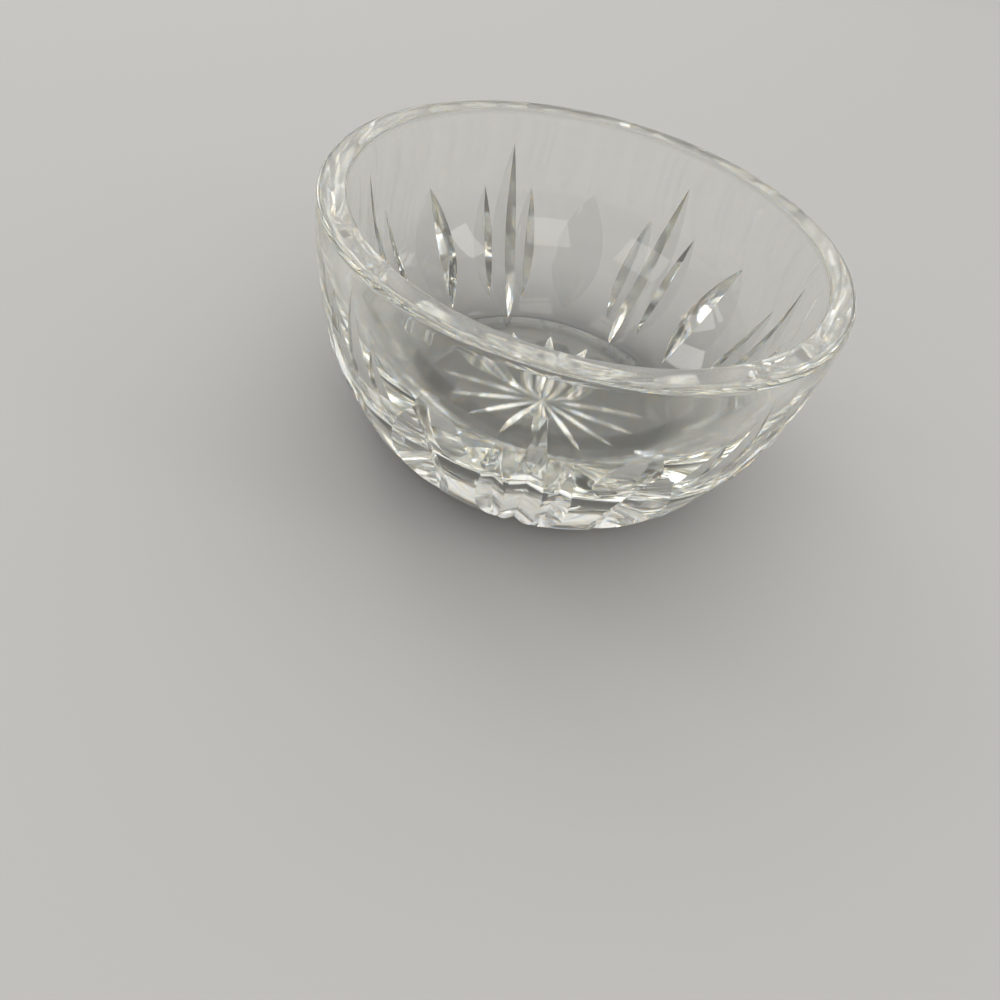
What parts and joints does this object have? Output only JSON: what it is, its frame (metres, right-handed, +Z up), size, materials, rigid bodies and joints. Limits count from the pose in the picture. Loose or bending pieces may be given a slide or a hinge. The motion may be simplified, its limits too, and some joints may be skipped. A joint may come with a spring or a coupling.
{
  "type": "finger bowl",
  "caption": "Round finger bowl of clear cut crystal: thick polished rim, rounded wall with mitre-cut leaves, flat base with a cut star underneath.",
  "frame": {"origin": "middle of the flat base, on the surface that the bowl stands on", "axes": "+Z up along the bowl's axis towards the mouth; the middle of one fan of cut leaves is 1.7 degrees from -Y"},
  "size_m": [0.114, 0.114, 0.057],
  "materials": {
    "crystal": "clear lead crystal, fire-polished and wheel-cut"
  },
  "bodies": {
    "root": {"bowl": "crystal"}
  },
  "joints": []
}
